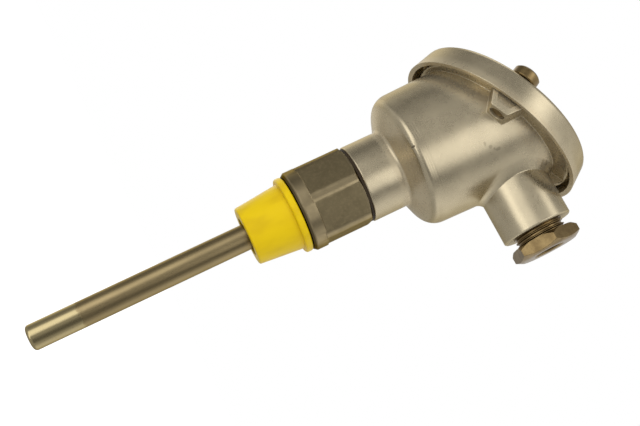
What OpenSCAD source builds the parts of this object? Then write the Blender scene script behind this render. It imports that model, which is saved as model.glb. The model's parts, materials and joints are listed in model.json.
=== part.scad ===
// Resistance thermometer with a tilted-lid connection head.
// Origin: centre of the process fitting's sealing face. +Z runs up the probe axis to the head,
// the cable entry points to +X. All sizes in millimetres, angles in degrees.

/* [Protection tube] */
// Outer diameter of the protection tube
tube_d = 10; // [9:0.5:12]
// Wall thickness of the protection tube
tube_wall = 1.5; // [1:0.25:1.5]
// Length of the tube from the sealing face to the tip
tube_l = 108; // [70:1:400]
// Depth of the tube's socket above the sealing face
tube_seat = 20; // [10:1:23]
// Thickness of the plug that closes the tip
plug_t = 3; // [2.5:0.5:6]
// Edge radius at the tip
tip_round = 1.4; // [0.5:0.1:2.4]

/* [Process fitting] */
// Major diameter of the process thread (G 1/2)
thread_d = 20.955; // [18:0.001:22]
// Length of the process thread
thread_l = 14; // [10:0.5:15]
// Diameter of the sealing collar
collar_d = 31.9; // [31.2:0.1:36]
// Height of the sealing collar
collar_h = 5.6; // [3:0.1:10]
// Chamfer height at the collar's sealing edge
collar_chamfer = 1.2; // [0.5:0.1:2]
// Width across the wrench flats
hex_af = 29.5; // [27:0.5:30]
// Diameter that the hexagon's corners are turned to
hex_round_d = 32.6; // [31.5:0.1:34]
// Direction of one wrench flat, measured from the cable entry
hex_turn = 4; // [0:1:59]
// Height of the fitting's shoulder under the head
fitting_h = 24.5; // [24.5:0.5:40]
// Major diameter of the head thread (M24x1.5)
head_thread_d = 24; // [22:0.5:25]
// Length of the head thread
head_thread_l = 12.5; // [8:0.5:13]

/* [Thread cap] */
// Overall length of the plastic cap
cap_l = 20.6; // [18:0.1:26]
// Outer diameter of the cap at its closed end
cap_end_d = 23; // [23:0.1:25]
// Outer diameter of the cap under its flange
cap_mouth_d = 26.3; // [26:0.1:28]
// Diameter of the cap's flange
cap_flange_d = 30.2; // [28:0.1:31]
// Thickness of the cap's flange
cap_flange_t = 2.8; // [1.5:0.1:4]
// Wall thickness of the cap
cap_wall = 0.9; // [0.6:0.05:1]
// Thickness of the cap's end wall
cap_floor = 1.2; // [0.8:0.1:2]
// Hole in the cap's end wall for the probe tube
cap_hole_d = 15; // [13:0.5:18]

/* [Head housing] */
// Diameter of the neck
neck_d = 30.8; // [29:0.1:32]
// Length of the neck below the shoulder
neck_l = 14.7; // [14:0.1:22]
// Fillet between the neck and the shoulder
neck_fillet = 1.5; // [0.5:0.1:3]
// Rise of the shoulder
shoulder_slope = 22.4; // [15:0.1:30]
// Radius of the shoulder's outer edge
shoulder_round = 7; // [5:0.5:8]
// Diameter of the body above the shoulder
body_d = 53.5; // [52:0.5:56]
// Draft of the body's wall
body_draft = 1.7; // [0.5:0.1:2]
// Inner diameter of the wiring space
cavity_d = 48; // [45:0.5:48]
// Height of the wiring space's floor above the shoulder's start
floor_rise = 7.3; // [6.8:0.1:9]
// Tilt of the cover's plane
rim_tilt = 25.2; // [15:0.1:27]
// Height of the cover's lower rim over the neck's foot, at the rim's centre
rim_rise = 55.5; // [54.5:0.5:64.5]
// Offset of the cover's lower rim towards the cable entry
rim_x = 3.4; // [3:0.1:4]
// Diameter of the flange under the cover
flange_d = 69.6; // [68:0.1:71]
// Thickness of the flange
flange_t = 3.2; // [2.5:0.1:4]
// Height of the flange's underside over the cover's lower rim
flange_rise = 2.2; // [1.5:0.1:3]
// Width of a screw lug at its lower end
lug_end_w = 8; // [7.6:0.1:9]
// Width of a screw lug under the flange
lug_root_w = 14.8; // [12:0.1:16]
// Depth of a screw lug below the cover's lower rim
lug_drop = 5.3; // [4:0.1:7]
// Distance of a screw lug's outer face from the cover's axis
lug_reach = 36.2; // [35.9:0.1:36.4]
// Wall left around a screw lug's outer pocket
lug_rib = 1.3; // [1:0.1:1.6]

/* [Cable boss and gland] */
// Diameter of the cable entry boss
boss_d = 27.7; // [26:0.1:29]
// Height of the cable entry's axis over the cover's lower rim at its centre
boss_rise = -1.75; // [-3:0.05:-1.5]
// Distance of the boss's end face from the probe axis
boss_reach = 45.7; // [44:0.1:50]
// Reach of the boss's fillet along the body's sides
fillet_side = 6.5; // [4:0.5:7]
// Reach of the boss's fillet above and below the boss
fillet_end = 2.5; // [1.5:0.5:3]
// Height that the fillet climbs on the boss
fillet_climb = 1.6; // [1:0.1:2.5]
// Thread diameter of the pressure screw
gland_thread_d = 19.7; // [18:0.1:20]
// Width across the pressure screw's flats
gland_af = 24; // [23:1:26]
// Height of the pressure screw's hexagon
gland_hex_h = 5.3; // [4:0.1:8]
// Thread left visible between the boss and the hexagon
gland_show = 3.7; // [2:0.1:5]
// Thread length inside the boss
gland_depth = 7.6; // [5:0.1:8]
// Hole for the cable
cable_d = 11.5; // [8:0.5:12]
// Length of the rubber seal
seal_l = 6; // [4:0.5:6]

/* [Cover] */
// Diameter of the cover at its lower rim
cover_d = 77.3; // [76.8:0.1:80]
// Height of the cover
cover_h = 10.4; // [10:0.1:13]
// Draft of the cover's side
cover_draft = 10.3; // [5:0.1:11]
// Radius of the cover's top edge
cover_round = 2; // [1:0.1:3]
// Thickness of the cover's plate
cover_plate = 3.4; // [3.2:0.1:3.4]
// Inner diameter of the cover's skirt at its lower rim
skirt_id = 73.6; // [73.4:0.1:74.6]
// Distance between the two cover screws
cover_screw_pitch = 63; // [62.6:0.1:63.2]
// Thread diameter of a cover screw
cover_screw_d = 6; // [5:0.5:6]
// Head diameter of a cover screw
cover_head_d = 10.4; // [9:0.1:11]
// Head height of a cover screw
cover_head_h = 4; // [3:0.1:5]

/* [Measuring insert] */
// Outer diameter of the insert's sheath
sheath_d = 6; // [5:0.5:6]
// Wall thickness of the sheath
sheath_wall = 0.5; // [0.4:0.05:0.6]
// Diameter of the platinum sensor element
sensor_d = 2.8; // [2:0.1:3]
// Length of the platinum sensor element
sensor_l = 18; // [10:1:25]
// Diameter of the insert's mounting plate
plate_d = 42; // [41:0.5:44]
// Thickness of the insert's mounting plate
plate_t = 2; // [1.5:0.1:2.5]
// Distance between the two insert screws
insert_pitch = 33; // [32:0.5:34]
// Height that the springs hold between the plate and the screw heads
spring_l = 9.6; // [9:0.1:11]
// Turns of each insert spring
spring_turns = 4.5; // [3.5:0.5:4.5]
// Diameter of the ceramic terminal block
block_d = 35; // [34:0.5:36]
// Height of the terminal block's base
block_base_h = 4.5; // [4:0.5:6]
// Overall height of the terminal block
block_h = 8; // [8:0.5:9]
// Distance of the clamps from the block's centre, along the cable entry
clamp_x = 7.6; // [7.4:0.1:8]
// Distance of the clamps from the block's centre, across the cable entry
clamp_y = 4.6; // [4.4:0.1:5]

/* [Fits] */
// Radial clearance of a pressed or glued joint
press_gap = 0.02; // [0.01:0.01:0.05]
// Radial clearance of a threaded joint
thread_gap = 0.05; // [0.02:0.01:0.1]
// Radial clearance of a part that passes through a hole
pass_gap = 0.3; // [0.2:0.05:0.5]
// Distance of a loose part from its seat
seat_gap = 0.1; // [0.05:0.01:0.3]

/* [Hidden] */
$fn = 96;

// Colours
steel = "#8f8b84";
polished = "#a9a8a6";
castings = "#b3b0a8";
brass = "#b9954a";
black_rubber = "#1c1c1d";
cap_yellow = "#e6c400";
ceramic = "#e9e4d6";

// Probe and fitting
tube_id = tube_d - 2 * tube_wall;
socket_d = tube_d + 2 * press_gap;
cap_gap = 0.4;
cap_top = -cap_gap;
cap_bottom = cap_top - cap_l;
cap_taper_top = cap_top - cap_flange_t;
seal_t = 1;
seal_inset = 0.5;

// Head, from the neck up
neck_r = neck_d / 2;
neck_z = fitting_h + seal_t;
shoulder_z = neck_z + neck_l;
floor_z = shoulder_z + floor_rise;
rim_z = neck_z + rim_rise;
thread_bore_d = head_thread_d + 2 * thread_gap;
thread_bore_top = fitting_h + head_thread_l + 1;
wall_r = body_d / 2;
arc_r = wall_r - shoulder_round * cos(body_draft);
arc_z = shoulder_z
    + (shoulder_round - (neck_r - arc_r) * sin(shoulder_slope)) / cos(shoulder_slope);
body_top = rim_z + 25;
body_top_r = wall_r + (body_top - arc_z) * tan(body_draft);
wall_foot = arc_z - shoulder_round * sin(body_draft);
insert_hole_d = sheath_d + 3;
insert_thread_depth = 4;

// Cover stack, measured from the cover's lower rim along its axis
flange_top = flange_rise + flange_t;
gasket_t = 1.5;
plate_under = flange_top + seat_gap + gasket_t;
head_under = cover_h + seat_gap;
screw_y = cover_screw_pitch / 2;
gasket_od = flange_d - 0.4;
gasket_id = 51;

// Cable entry
boss_z = rim_z + boss_rise;
gland_hex_x = boss_reach + gland_show;
gland_inner_x = boss_reach - gland_depth;
gland_bore_d = gland_thread_d + 2 * thread_gap;
washer_t = 1;
seal_x = gland_inner_x - seat_gap - washer_t - seal_l;
seal_d = gland_bore_d - 0.4;
seal_id = cable_d + 0.3;
ledge_d = cable_d + 3;

// Insert stack
plate_top = floor_z + plate_t;
spring_z = plate_top + seat_gap;
insert_head_z = spring_z + spring_l + seat_gap;
insert_screw_d = 4;
spring_wire = 0.9;
spring_d = 6.4;
sheath_id = sheath_d - 2 * sheath_wall;
sheath_bottom = -tube_l + plug_t + pass_gap;
sheath_top = plate_top + 1;
fill_d = sheath_id - 2 * thread_gap;
fill_bottom = sheath_bottom + sheath_wall + seat_gap;
sensor_z = fill_bottom + 0.8;
sensor_top = sensor_z + sensor_l;
conductor_d = 0.7;
conductor_offset = 0.8;
well_d = 9;
notch_d = spring_d + spring_wire + 2.6;
clamp_size = [6.2, 6, 7];
clamp_z = plate_top + 1.8;
wire_z = clamp_z + 3.2;
wire_d = 0.9;
clamp_hole_d = 2.6;
terminal_screw_d = 3.2;
terminal_head_d = 5.6;
terminal_head_h = 2;
earth_z = floor_z + 13.5;
earth_pad_d = 9;
earth_pad_x = -cavity_d / 2 + 2.2;
earth_washer_t = 1;

// Points of an arc about c, from angle a0 to a1
function arc(c, r, a0, a1, n = 8) =
    [for (i = [0 : n]) c + r * [cos(a0 + (a1 - a0) * i / n), sin(a0 + (a1 - a0) * i / n)]];

// Height of the plane h above the cover's lower rim, at distance x from the probe axis
function rim_plane_z(x, h) = rim_z + (h + (x - rim_x) * sin(rim_tilt)) / cos(rim_tilt);

// Point on the body's wall, rho from the cable entry's axis in direction a, sunk by d
function wall_point(rho, a, d) =
    let (y = rho * cos(a), z = boss_z + rho * sin(a),
        r = wall_r + (body_top_r - wall_r) * (z - wall_foot) / (body_top - wall_foot) - d)
    [sqrt(r * r - y * y), y, z];

// Sign of a terminal's quadrant: 1 and 2 in front, 3 and 4 behind, odd ones away from the entry
function quadrant(i) = [i % 2 == 1 ? -1 : 1, i < 3 ? -1 : 1];

// Cubic curve through four control points
function curve(p, n) = [for (i = [0 : n]) let (t = i / n, s = 1 - t)
    s * s * s * p[0] + 3 * s * s * t * p[1] + 3 * s * t * t * p[2] + t * t * t * p[3]];

function unit(v) = v / norm(v);
function across(v) = unit(cross(v, abs(v.z) < 0.9 ? [0, 0, 1] : [1, 0, 0]));
function heading(p, i) = unit(p[min(i + 1, len(p) - 1)] - p[max(i - 1, 0)]);
function square_to(s, t) = unit(s - (s * t) * t);

// Directions square to a path, carried along it without twist
function carried(p) = [for (i = 0, s = across(heading(p, 0)); i < len(p);
    i = i + 1, s = i < len(p) ? square_to(s, heading(p, i)) : s) s];

// Round wire of diameter d along the points p
module wire_along(p, d, sides = 8) {
    side = carried(p);
    rings = [for (i = [0 : len(p) - 1]) for (k = [0 : sides - 1])
        let (a = -360 * k / sides, up = cross(heading(p, i), side[i]))
        p[i] + d / 2 * (cos(a) * side[i] + sin(a) * up)];
    last = len(p) - 1;
    skin = [for (i = [0 : last - 1]) for (k = [0 : sides - 1])
        let (m = (k + 1) % sides)
        [i * sides + k, i * sides + m, (i + 1) * sides + m, (i + 1) * sides + k]];
    polyhedron(rings, concat(
        skin,
        [[for (k = [0 : sides - 1]) sides - 1 - k]],
        [[for (k = [0 : sides - 1]) last * sides + k]]), convexity = 4);
}

// Places children in the cover's frame: z along the cover's axis, x up its slope
module at_rim() translate([rim_x, 0, rim_z]) rotate([0, -rim_tilt, 0]) children();

// Places children with z along the cable entry
module at_entry() translate([0, 0, boss_z]) rotate([0, 90, 0]) children();

// Hexagonal prism with one flat towards the given direction
module hex_prism(af, h, turn = 0) rotate([0, 0, 30 + turn]) cylinder(r = af / sqrt(3), h = h, $fn = 6);

// Slotted cylindrical screw head with a chamfered top, seated at z = 0
module slotted_head(d, h, slot_w, slot_depth, chamfer) difference() {
    rotate_extrude() polygon([
        [0, 0], [d / 2 - chamfer / 2, 0], [d / 2, chamfer / 2], [d / 2, h - chamfer],
        [d / 2 - chamfer, h], [0, h]
    ]);
    translate([-d, -slot_w / 2, h - slot_depth]) cube([2 * d, slot_w, h]);
}

// ---------------------------------------------------------------- probe

module protection_tube() color(polished) difference() {
    translate([0, 0, -tube_l + plug_t]) cylinder(d = tube_d, h = tube_l - plug_t + tube_seat);
    translate([0, 0, -tube_l]) cylinder(d = tube_id, h = tube_l + tube_seat + 1);
}

module tip_plug() color(polished) rotate_extrude() polygon(concat(
    [[0, -tube_l]],
    arc([tube_d / 2 - tip_round, -tube_l + tip_round], tip_round, -90, 0),
    [[tube_d / 2, -tube_l + plug_t], [0, -tube_l + plug_t]]
));

module process_fitting() color(steel) difference() {
    union() {
        fitting_turning();
        fitting_hexagon();
    }
    translate([0, 0, -thread_l - 1]) cylinder(d = socket_d, h = thread_l + 1 + tube_seat);
    cylinder(d = tube_id, h = fitting_h + head_thread_l + 1);
}

// Turned outline: process thread, collar and head thread
module fitting_turning() {
    c = 0.8;
    rotate_extrude() polygon([
        [0, -thread_l], [thread_d / 2 - c, -thread_l], [thread_d / 2, -thread_l + c],
        [thread_d / 2, 0], [collar_d / 2 - collar_chamfer * 0.8, 0],
        [collar_d / 2, collar_chamfer], [collar_d / 2, collar_h - 0.25],
        [collar_d / 2 - 0.25, collar_h], [head_thread_d / 2, collar_h],
        [head_thread_d / 2, fitting_h + head_thread_l - c],
        [head_thread_d / 2 - c, fitting_h + head_thread_l], [0, fitting_h + head_thread_l]
    ]);
}

// Wrench flats cut on a turned blank with a chamfered top
module fitting_hexagon() intersection() {
    translate([0, 0, collar_h - 0.5]) hex_prism(hex_af, fitting_h - collar_h + 0.5, hex_turn);
    rotate_extrude() polygon([
        [0, 0], [hex_round_d / 2, 0], [hex_round_d / 2, fitting_h - 0.9],
        [hex_round_d / 2 - 1.6, fitting_h], [0, fitting_h]
    ]);
}

module neck_seal() color(black_rubber) translate([0, 0, fitting_h]) difference() {
    cylinder(d = neck_d - 2 * seal_inset, h = seal_t);
    translate([0, 0, -1]) cylinder(d = head_thread_d + 2 * pass_gap, h = seal_t + 2);
}

module thread_cap() color(cap_yellow) rotate_extrude() polygon(concat(
    [[cap_hole_d / 2, cap_bottom]],
    arc([cap_end_d / 2 - 0.8, cap_bottom + 0.8], 0.8, -90, 0),
    [[cap_mouth_d / 2, cap_taper_top]],
    arc([cap_flange_d / 2 - 0.8, cap_taper_top + 0.8], 0.8, -90, 0, 4),
    arc([cap_flange_d / 2 - 0.8, cap_top - 0.8], 0.8, 0, 90, 4),
    [
        [cap_mouth_d / 2 - cap_wall + 0.4, cap_top], [cap_mouth_d / 2 - cap_wall, cap_top - 0.4],
        [cap_end_d / 2 - cap_wall, cap_bottom + cap_floor], [cap_hole_d / 2, cap_bottom + cap_floor]
    ]
));

// ---------------------------------------------------------------- head housing

module head_housing() color(castings) difference() {
    union() {
        housing_body();
        at_rim() housing_flange();
        at_rim() screw_lug();
        at_rim() mirror([0, 1, 0]) screw_lug();
        cable_boss();
        boss_web();
    }
    housing_cavity();
    at_rim() for (s = [-1, 1]) translate([0, s * screw_y, -lug_drop - 1])
        cylinder(d = cover_screw_d + 2 * thread_gap, h = lug_drop + flange_top + 2);
    for (s = [-1, 1]) translate([0, s * insert_pitch / 2, floor_z - insert_thread_depth])
        cylinder(d = insert_screw_d + 2 * thread_gap, h = insert_thread_depth + 1);
    earth_hole();
}

// Neck, shoulder and drafted wall, cut off inside the flange
module housing_body() intersection() {
    rotate_extrude() polygon(concat(
        [[0, neck_z], [neck_r - 0.3, neck_z], [neck_r, neck_z + 0.3]],
        arc([neck_r + neck_fillet,
            shoulder_z - neck_fillet * (1 - sin(shoulder_slope)) / cos(shoulder_slope)],
            neck_fillet, 180, 90 + shoulder_slope, 5),
        arc([arc_r, arc_z], shoulder_round, shoulder_slope - 90, -body_draft, 9),
        [[body_top_r, body_top], [0, body_top]]
    ));
    below_flange();
}

// Everything up to the middle of the flange
module below_flange() at_rim() translate([0, 0, -4 * body_d])
    cylinder(d = 4 * body_d, h = 4 * body_d + flange_rise + 1);

// Round flange that carries the gasket
module housing_flange() translate([0, 0, flange_rise]) rotate_extrude() polygon([
    [0, 0], [flange_d / 2 - 0.5, 0], [flange_d / 2, 0.5], [flange_d / 2, flange_t - 0.3],
    [flange_d / 2 - 0.3, flange_t], [0, flange_t]
]);

// Outline of a lug seen from outside, inset by d
module lug_outline(d = 0) {
    root_w = lug_root_w / 2 - d;
    end_w = lug_end_w / 2 - d;
    r = max(1.2 - d / 2, 0.5);
    polygon(concat(
        [[-root_w, flange_rise + 0.5]],
        arc([-end_w + r, -lug_drop + d + r], r, 205, 270, 4),
        arc([end_w - r, -lug_drop + d + r], r, -90, -25, 4),
        [[root_w, flange_rise + 0.5]]
    ));
}

// Lug for one cover screw, rounded to the flange, with the pocket between its two ribs
module screw_lug() {
    pocket = 0.9;
    depth = lug_reach - cavity_d / 2;
    difference() {
        intersection() {
            translate([0, lug_reach, 0]) rotate([90, 0, 0]) linear_extrude(depth) lug_outline();
            translate([0, 0, -2 * lug_drop]) cylinder(r = lug_reach, h = 4 * lug_drop);
        }
        translate([0, lug_reach + 1, 0]) rotate([90, 0, 0]) linear_extrude(pocket + 1)
            translate([0, lug_rib]) lug_outline(lug_rib);
    }
}

// Cable boss, drafted slightly towards its end face
module cable_boss() {
    r = boss_d / 2;
    at_entry() rotate_extrude() polygon([
        [0, wall_r / 2], [r, wall_r / 2], [r - 0.1, boss_reach - 0.5], [r - 0.6, boss_reach],
        [0, boss_reach]
    ]);
    boss_fillet();
}

// Saddle fillet: a ring of sections square to the line where the boss leaves the drafted wall.
// Each section runs in a curve from the boss to a tangent end on the wall, and closes inside it.
// It reaches far along the body's sides and little above and below the boss.
module boss_fillet() {
    r = boss_d / 2;
    steps = 48;
    curve_n = 6;
    sunk = 1.2;
    rings = [for (i = [0 : steps - 1]) let (
        a = 360 * i / steps,
        reach = fillet_end + (fillet_side - fillet_end) * pow(cos(a), 2),
        top = wall_point(r - 0.1, a, 0) + [fillet_climb, 0, 0],
        bend = wall_point(r + 0.35 * reach, a, 0),
        foot = wall_point(r + reach, a, 0.05)
    ) each concat(
        [for (k = [0 : curve_n]) let (t = k / curve_n, u = 1 - t)
            u * u * top + 2 * u * t * bend + t * t * foot],
        [wall_point(r + reach, a, sunk), wall_point(r - sunk, a, sunk)]
    )];
    n = curve_n + 3;
    skin = [for (i = [0 : steps - 1]) for (k = [0 : n - 1])
        let (j = (i + 1) % steps, m = (k + 1) % n)
        [i * n + k, j * n + k, j * n + m, i * n + m]];
    intersection() {
        polyhedron(rings, skin, convexity = 6);
        below_flange();
    }
}

// Thin casting web between the boss and the flange
module boss_web() {
    web_t = 1.4;
    x0 = wall_r - 1;
    x1 = wall_r + 6.6;
    z0 = boss_z + boss_d / 2 - 1;
    translate([0, web_t / 2, 0]) rotate([90, 0, 0]) linear_extrude(web_t) polygon([
        [x0, z0], [x1, z0], [x1, rim_plane_z(x1, flange_rise + 0.5)],
        [x0, rim_plane_z(x0, flange_rise + 0.5)]
    ]);
}

// Everything bored or cored out of the casting
module housing_cavity() {
    difference() {
        translate([0, 0, floor_z]) rotate_extrude() polygon(concat(
            [[0, 0]],
            arc([cavity_d / 2 - 2, 2], 2, -90, 0, 5),
            [[cavity_d / 2, body_top - floor_z + 20], [0, body_top - floor_z + 20]]
        ));
        earth_pad();
    }
    translate([0, 0, neck_z - 1]) cylinder(d = thread_bore_d, h = thread_bore_top - neck_z + 1);
    translate([0, 0, neck_z - 1]) cylinder(d = insert_hole_d, h = floor_z - neck_z + 2);
    at_entry() translate([0, 0, seal_x]) cylinder(d = gland_bore_d, h = boss_reach);
    at_entry() cylinder(d = ledge_d, h = boss_reach);
}

// Round pad on the inner wall, opposite the cable entry
module earth_pad() translate([-cavity_d / 2 - 1, 0, earth_z]) rotate([0, 90, 0])
    cylinder(d = earth_pad_d, h = earth_pad_x + cavity_d / 2 + 1);

module earth_hole() translate([earth_pad_x - 4.5, 0, earth_z]) rotate([0, 90, 0])
    cylinder(d = 4 + 2 * thread_gap, h = 6);

// ---------------------------------------------------------------- cover

module cover() color(castings) at_rim() difference() {
    rotate_extrude() cover_profile();
    for (s = [-1, 1]) translate([0, s * screw_y, 0])
        cylinder(d = cover_screw_d + 2 * pass_gap, h = cover_h + 1);
}

// Half section of the cover: drafted skirt, rounded top edge, recessed underside
module cover_profile() {
    arc_h = cover_h - cover_round;
    rim_r = cover_d / 2;
    edge_r = rim_r - (cover_round + arc_h * sin(cover_draft)) / cos(cover_draft);
    polygon(concat(
        [[skirt_id / 2, 0], [rim_r, 0]],
        arc([edge_r, arc_h], cover_round, cover_draft, 90, 7),
        [
            [0, cover_h], [0, cover_h - 2.4], [24.5, cover_h - 2.4], [25.5, plate_under],
            [skirt_id / 2 - 0.6, plate_under]
        ]
    ));
}

module cover_gasket() color(black_rubber) at_rim() translate([0, 0, flange_top + seat_gap]) difference() {
    cylinder(d = gasket_od, h = gasket_t);
    translate([0, 0, -1]) cylinder(d = gasket_id, h = gasket_t + 2);
    for (s = [-1, 1]) translate([0, s * screw_y, -1])
        cylinder(d = cover_screw_d + 2 * pass_gap, h = gasket_t + 2);
}

// Slotted brass screw through the cover into a lug; s picks the side
module cover_screw(s) color(brass) at_rim() translate([0, s * screw_y, 0]) {
    tip = -lug_drop + 0.8;
    c = 0.6;
    union() {
        translate([0, 0, head_under]) slotted_head(cover_head_d, cover_head_h, 1.5, 1.7, 0.7);
        translate([0, 0, tip]) rotate_extrude() polygon([
            [0, 0], [cover_screw_d / 2 - c, 0], [cover_screw_d / 2, c],
            [cover_screw_d / 2, head_under - tip + 1], [0, head_under - tip + 1]
        ]);
    }
}

// ---------------------------------------------------------------- cable gland

module gland_screw() color(brass) at_entry() difference() {
    union() {
        gland_thread();
        gland_hexagon();
    }
    cylinder(d = cable_d, h = 2 * boss_reach);
    translate([0, 0, gland_hex_x + gland_hex_h - 0.5])
        cylinder(d1 = cable_d, d2 = cable_d + 2, h = 1);
}

module gland_thread() {
    c = 0.8;
    translate([0, 0, gland_inner_x]) rotate_extrude() polygon([
        [0, 0], [gland_thread_d / 2 - c, 0], [gland_thread_d / 2, c],
        [gland_thread_d / 2, gland_depth + gland_show + 1], [0, gland_depth + gland_show + 1]
    ]);
}

// Hexagon with its corners turned off on both faces
module gland_hexagon() intersection() {
    corner_r = gland_af / sqrt(3);
    translate([0, 0, gland_hex_x]) hex_prism(gland_af, gland_hex_h, 0);
    translate([0, 0, gland_hex_x]) rotate_extrude() polygon([
        [0, 0], [corner_r - 1.6, 0], [corner_r, 1.4], [corner_r, gland_hex_h - 1.5],
        [corner_r - 2.8, gland_hex_h], [0, gland_hex_h]
    ]);
}

module gland_washer() color(polished) at_entry() translate([0, 0, seal_x + seal_l]) difference() {
    cylinder(d = seal_d, h = washer_t);
    translate([0, 0, -1]) cylinder(d = cable_d + 0.8, h = washer_t + 2);
}

module gland_seal() color(black_rubber) at_entry() translate([0, 0, seal_x]) difference() {
    cylinder(d = seal_d, h = seal_l);
    translate([0, 0, -1]) cylinder(d = seal_id, h = seal_l + 2);
}

// ---------------------------------------------------------------- measuring insert

module insert_sheath() color(polished) difference() {
    rotate_extrude() polygon(concat(
        [[0, sheath_bottom]],
        arc([sheath_d / 2 - 1, sheath_bottom + 1], 1, -90, 0, 5),
        [[sheath_d / 2, sheath_top], [0, sheath_top]]
    ));
    translate([0, 0, sheath_bottom + sheath_wall + 0.2])
        cylinder(d = sheath_id, h = sheath_top - sheath_bottom);
}

// Corner positions of the four conductors
module at_conductors() for (i = [1 : 4])
    translate([quadrant(i).x * conductor_offset, quadrant(i).y * conductor_offset, 0]) children();

module insulation_fill() color("#dcd8cc") difference() {
    translate([0, 0, fill_bottom + 0.2]) cylinder(d = fill_d, h = sheath_top - fill_bottom - 0.4);
    translate([0, 0, sensor_z]) cylinder(d = sensor_d + 2 * thread_gap, h = sensor_l + thread_gap);
    at_conductors() translate([0, 0, sensor_top])
        cylinder(d = conductor_d + 2 * thread_gap, h = sheath_top - sensor_top + 1);
}

module sensor_element() color("#f2efe8") translate([0, 0, sensor_z + thread_gap])
    cylinder(d = sensor_d, h = sensor_l - thread_gap);

module conductors() color("#b5b4b0") at_conductors() translate([0, 0, sensor_top])
    cylinder(d = conductor_d, h = sheath_top - sensor_top);

// Places children at the two insert screws
module at_insert_screws() for (s = [-1, 1]) translate([0, s * insert_pitch / 2, 0]) children();

module insert_flange() color(polished) difference() {
    translate([0, 0, floor_z]) cylinder(d = plate_d, h = plate_t);
    translate([0, 0, floor_z - 1]) cylinder(d = sheath_d + 2 * press_gap, h = plate_t + 2);
    translate([0, 0, floor_z - 1]) at_insert_screws()
        cylinder(d = insert_screw_d + 2 * pass_gap, h = plate_t + 2);
    translate([-plate_d / 2 - 1.4, 0, floor_z - 1]) cylinder(d = earth_pad_d + 0.6, h = plate_t + 2);
}

module terminal_block() color(ceramic) translate([0, 0, plate_top]) difference() {
    union() {
        cylinder(d = block_d, h = block_base_h);
        intersection() {
            island = [2 * clamp_x + 9.6, 2 * clamp_y + 9, block_h];
            translate([-island.x / 2, -island.y / 2, 0]) cube(island);
            cylinder(d = block_d - 1, h = block_h);
        }
    }
    translate([0, 0, -1]) cylinder(d = well_d - 2, h = block_h + 2);
    translate([-well_d / 2 + 0.6, -clamp_y - 1.6, 2]) cube([well_d - 1.2, 2 * clamp_y + 3.2, block_h]);
    translate([0, 0, -1]) at_insert_screws() cylinder(d = notch_d, h = block_h + 2);
    for (i = [1 : 4]) clamp_pocket(quadrant(i));
}

// Pocket of one clamp in the block, and the wire slot from the well through it to the outside
module clamp_pocket(q) {
    slot_w = 3.6;
    w = clamp_size.x + 2 * thread_gap;
    d = clamp_size.y + 2 * thread_gap;
    floor_h = clamp_z - plate_top - thread_gap;
    slot_h = wire_z - slot_w / 2 - plate_top;
    translate([q.x * clamp_x - w / 2, q.y * clamp_y - d / 2, floor_h]) cube([w, d, block_h]);
    translate([min(q.x, 0) * block_d / 2, q.y * clamp_y - slot_w / 2, slot_h])
        cube([block_d / 2, slot_w, block_h]);
}

module terminal_clamp(i) {
    q = quadrant(i);
    color(brass) translate([q.x * clamp_x, q.y * clamp_y, clamp_z]) difference() {
        translate([-clamp_size.x / 2, -clamp_size.y / 2, 0]) cube(clamp_size);
        translate([-clamp_size.x, 0, wire_z - clamp_z]) rotate([0, 90, 0])
            cylinder(d = clamp_hole_d, h = 2 * clamp_size.x);
        translate([0, 0, wire_z - clamp_z])
            cylinder(d = terminal_screw_d + 2 * thread_gap, h = clamp_size.z);
    }
}

module terminal_screw(i) {
    q = quadrant(i);
    top = clamp_z + clamp_size.z + seat_gap;
    tip = wire_z + 0.6;
    color(polished) translate([q.x * clamp_x, q.y * clamp_y, 0]) union() {
        translate([0, 0, top]) rotate([0, 0, 35 * i])
            slotted_head(terminal_head_d, terminal_head_h, 0.9, 0.9, 0.4);
        translate([0, 0, tip]) cylinder(d = terminal_screw_d, h = top - tip + 0.5);
    }
}

// Insulated wire from the sheath's mouth to one clamp
module lead_wire(i) {
    q = quadrant(i);
    start = [q.x * conductor_offset, q.y * conductor_offset, sheath_top + seat_gap];
    end = [q.x * (clamp_x - clamp_size.x / 2 + 1), q.y * clamp_y, wire_z];
    color("#efe9da") wire_along(curve([
        start, start + [0, 0, 3.6], end - [q.x * 3.2, 0, 0], end
    ], 14), wire_d);
}

module insert_screw(s) color(brass) translate([0, s * insert_pitch / 2, 0]) union() {
    tip = floor_z - insert_thread_depth + 0.3;
    translate([0, 0, tip]) cylinder(d = insert_screw_d, h = insert_head_z - tip + 0.5);
    translate([0, 0, insert_head_z]) rotate([0, 0, 20 * s]) slotted_head(7.2, 2.6, 1, 1.2, 0.5);
}

// Helical pressure spring with flat-wound ends between the plate and a screw head
module insert_spring(s) {
    per_turn = 20;
    n = round(spring_turns * per_turn);
    rise = spring_l - spring_wire;
    r = spring_d / 2;
    color(polished) translate([0, s * insert_pitch / 2, spring_z + spring_wire / 2])
        wire_along([for (i = [0 : n]) let (a = 360 * i / per_turn)
            [r * cos(a), r * sin(a), rise * i / n]], spring_wire, 6);
}

module earth_screw() color(brass)
    translate([earth_pad_x + earth_washer_t + seat_gap, 0, earth_z]) rotate([0, 90, 0]) union() {
        slotted_head(6.6, 2.4, 1, 1.1, 0.4);
        translate([0, 0, -earth_washer_t - 4.2]) cylinder(d = 4, h = earth_washer_t + 4.7);
    }

module earth_washer() color(polished) translate([earth_pad_x, 0, earth_z]) rotate([0, 90, 0]) difference() {
    cylinder(d = 8, h = earth_washer_t);
    translate([0, 0, -1]) cylinder(d = 4.3, h = earth_washer_t + 2);
}

// ---------------------------------------------------------------- assembly

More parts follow.
